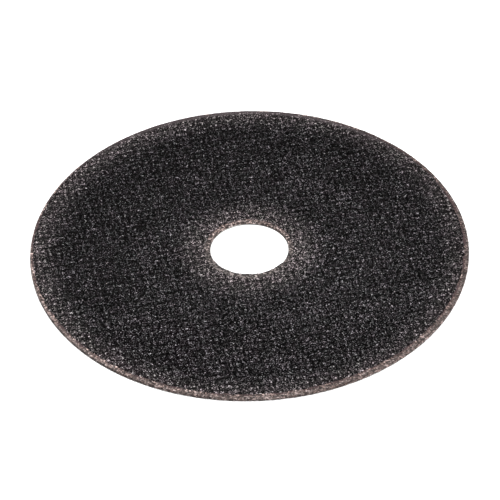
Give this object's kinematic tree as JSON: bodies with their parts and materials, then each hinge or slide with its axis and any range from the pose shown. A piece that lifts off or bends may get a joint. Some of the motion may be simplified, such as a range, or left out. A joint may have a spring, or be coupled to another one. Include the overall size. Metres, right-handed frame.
{
  "type": "flat cutting disc for metal",
  "caption": "Thin flat bonded-abrasive cutting disc with black woven facings, a bare gritty rim and a steel ring at its round bore.",
  "frame": {"origin": "centre of the disc's underside, on the bore axis", "axes": "+Z along the bore axis, from the label side that it lies on to the plain side that shows; +X and +Y in the disc's plane"},
  "size_m": [0.125, 0.125, 0.001],
  "materials": {
    "bonded_abrasive": "rough pink-brown grit in resin",
    "black_woven_facing": "black resin-filled plain weave with fine glints",
    "ring_steel": "thin stamped steel, plain"
  },
  "bodies": {
    "root": {"abrasive_body": "bonded_abrasive", "upper_facing": "black_woven_facing", "lower_facing": "black_woven_facing", "bore_ring": "ring_steel"}
  },
  "joints": []
}
